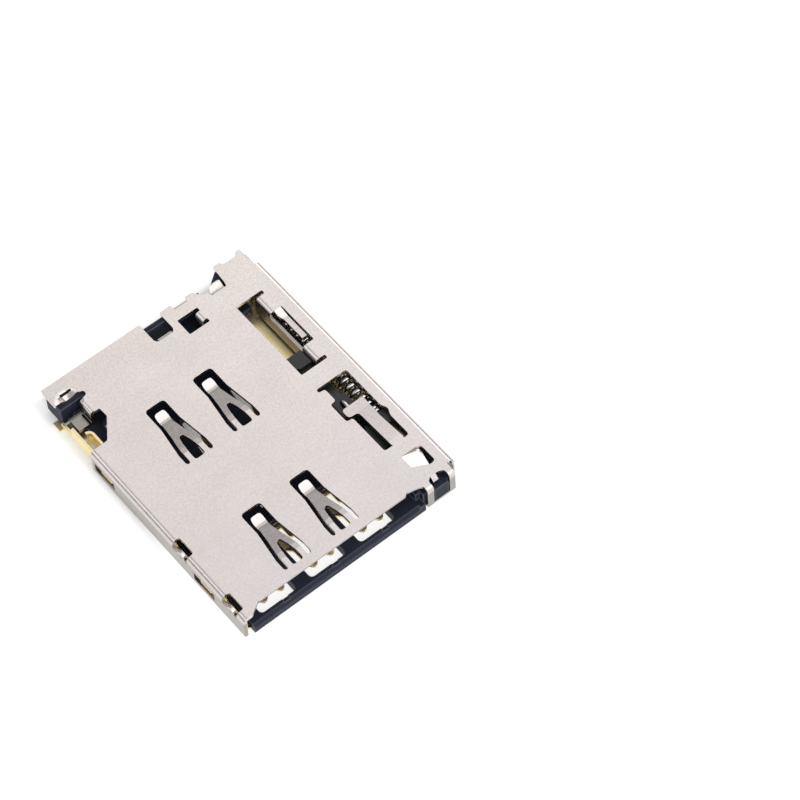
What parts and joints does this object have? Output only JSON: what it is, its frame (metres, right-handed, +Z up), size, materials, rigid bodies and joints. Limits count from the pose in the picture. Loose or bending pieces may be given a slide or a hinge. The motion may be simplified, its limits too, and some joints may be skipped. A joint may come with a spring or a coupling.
{
  "type": "nano-SIM card socket",
  "caption": "Low surface-mount push-push socket for a nano-SIM card: folded steel shell with sprung card fingers over a black moulded base with gold contacts, cam slider and ejector spring.",
  "frame": {"origin": "middle of the footprint on the solder plane", "axes": "+Y the way the card goes in, +X towards the push-push mechanism, +Z up off the board"},
  "size_m": [0.0112, 0.0144, 0.0014],
  "materials": {
    "shell_steel": "matte stainless strip, fine rolled grain",
    "black_lcp": "bluish black moulding, fine flow texture",
    "gold_plate": "gold flash over nickel, satin",
    "gold_contact": "gold plated spring strip",
    "black_slider": "black moulding",
    "spring_steel": "bright drawn wire"
  },
  "bodies": {
    "socket": {"shell": "shell_steel", "housing": "black_lcp", "mechanism_plate": "gold_plate", "card_side_plate": "gold_plate", "rear_contact_1": "gold_contact", "rear_contact_2": "gold_contact", "rear_contact_3": "gold_contact", "front_contact_1": "gold_contact", "front_contact_2": "gold_contact", "front_contact_3": "gold_contact", "front_stiffener": "gold_plate", "switch_plate": "gold_plate", "switch_blade": "gold_contact", "ejector_spring": "spring_steel"},
    "slider": {"slider": "black_slider"},
    "cam_pin": {"cam_pin": "spring_steel"}
  },
  "joints": [
    {"name": "slider_push", "type": "slide", "parent": "socket", "child": "slider", "axis": [0, 1, 0], "range_m": [0, 0.0016], "stiffness_N_per_m": 120, "springref_m": -0.003, "deforming": ["ejector_spring"]},
    {"name": "pin_swing", "type": "hinge", "parent": "socket", "child": "cam_pin", "pos_m": [0.00438, -0.005, 0.00095], "axis": [0, 0, 1], "range_deg": [0, 3.6]}
  ],
  "couplings": [
    {"joint": "pin_swing", "follows": "slider_push", "rad_per_m": 38.2}
  ]
}
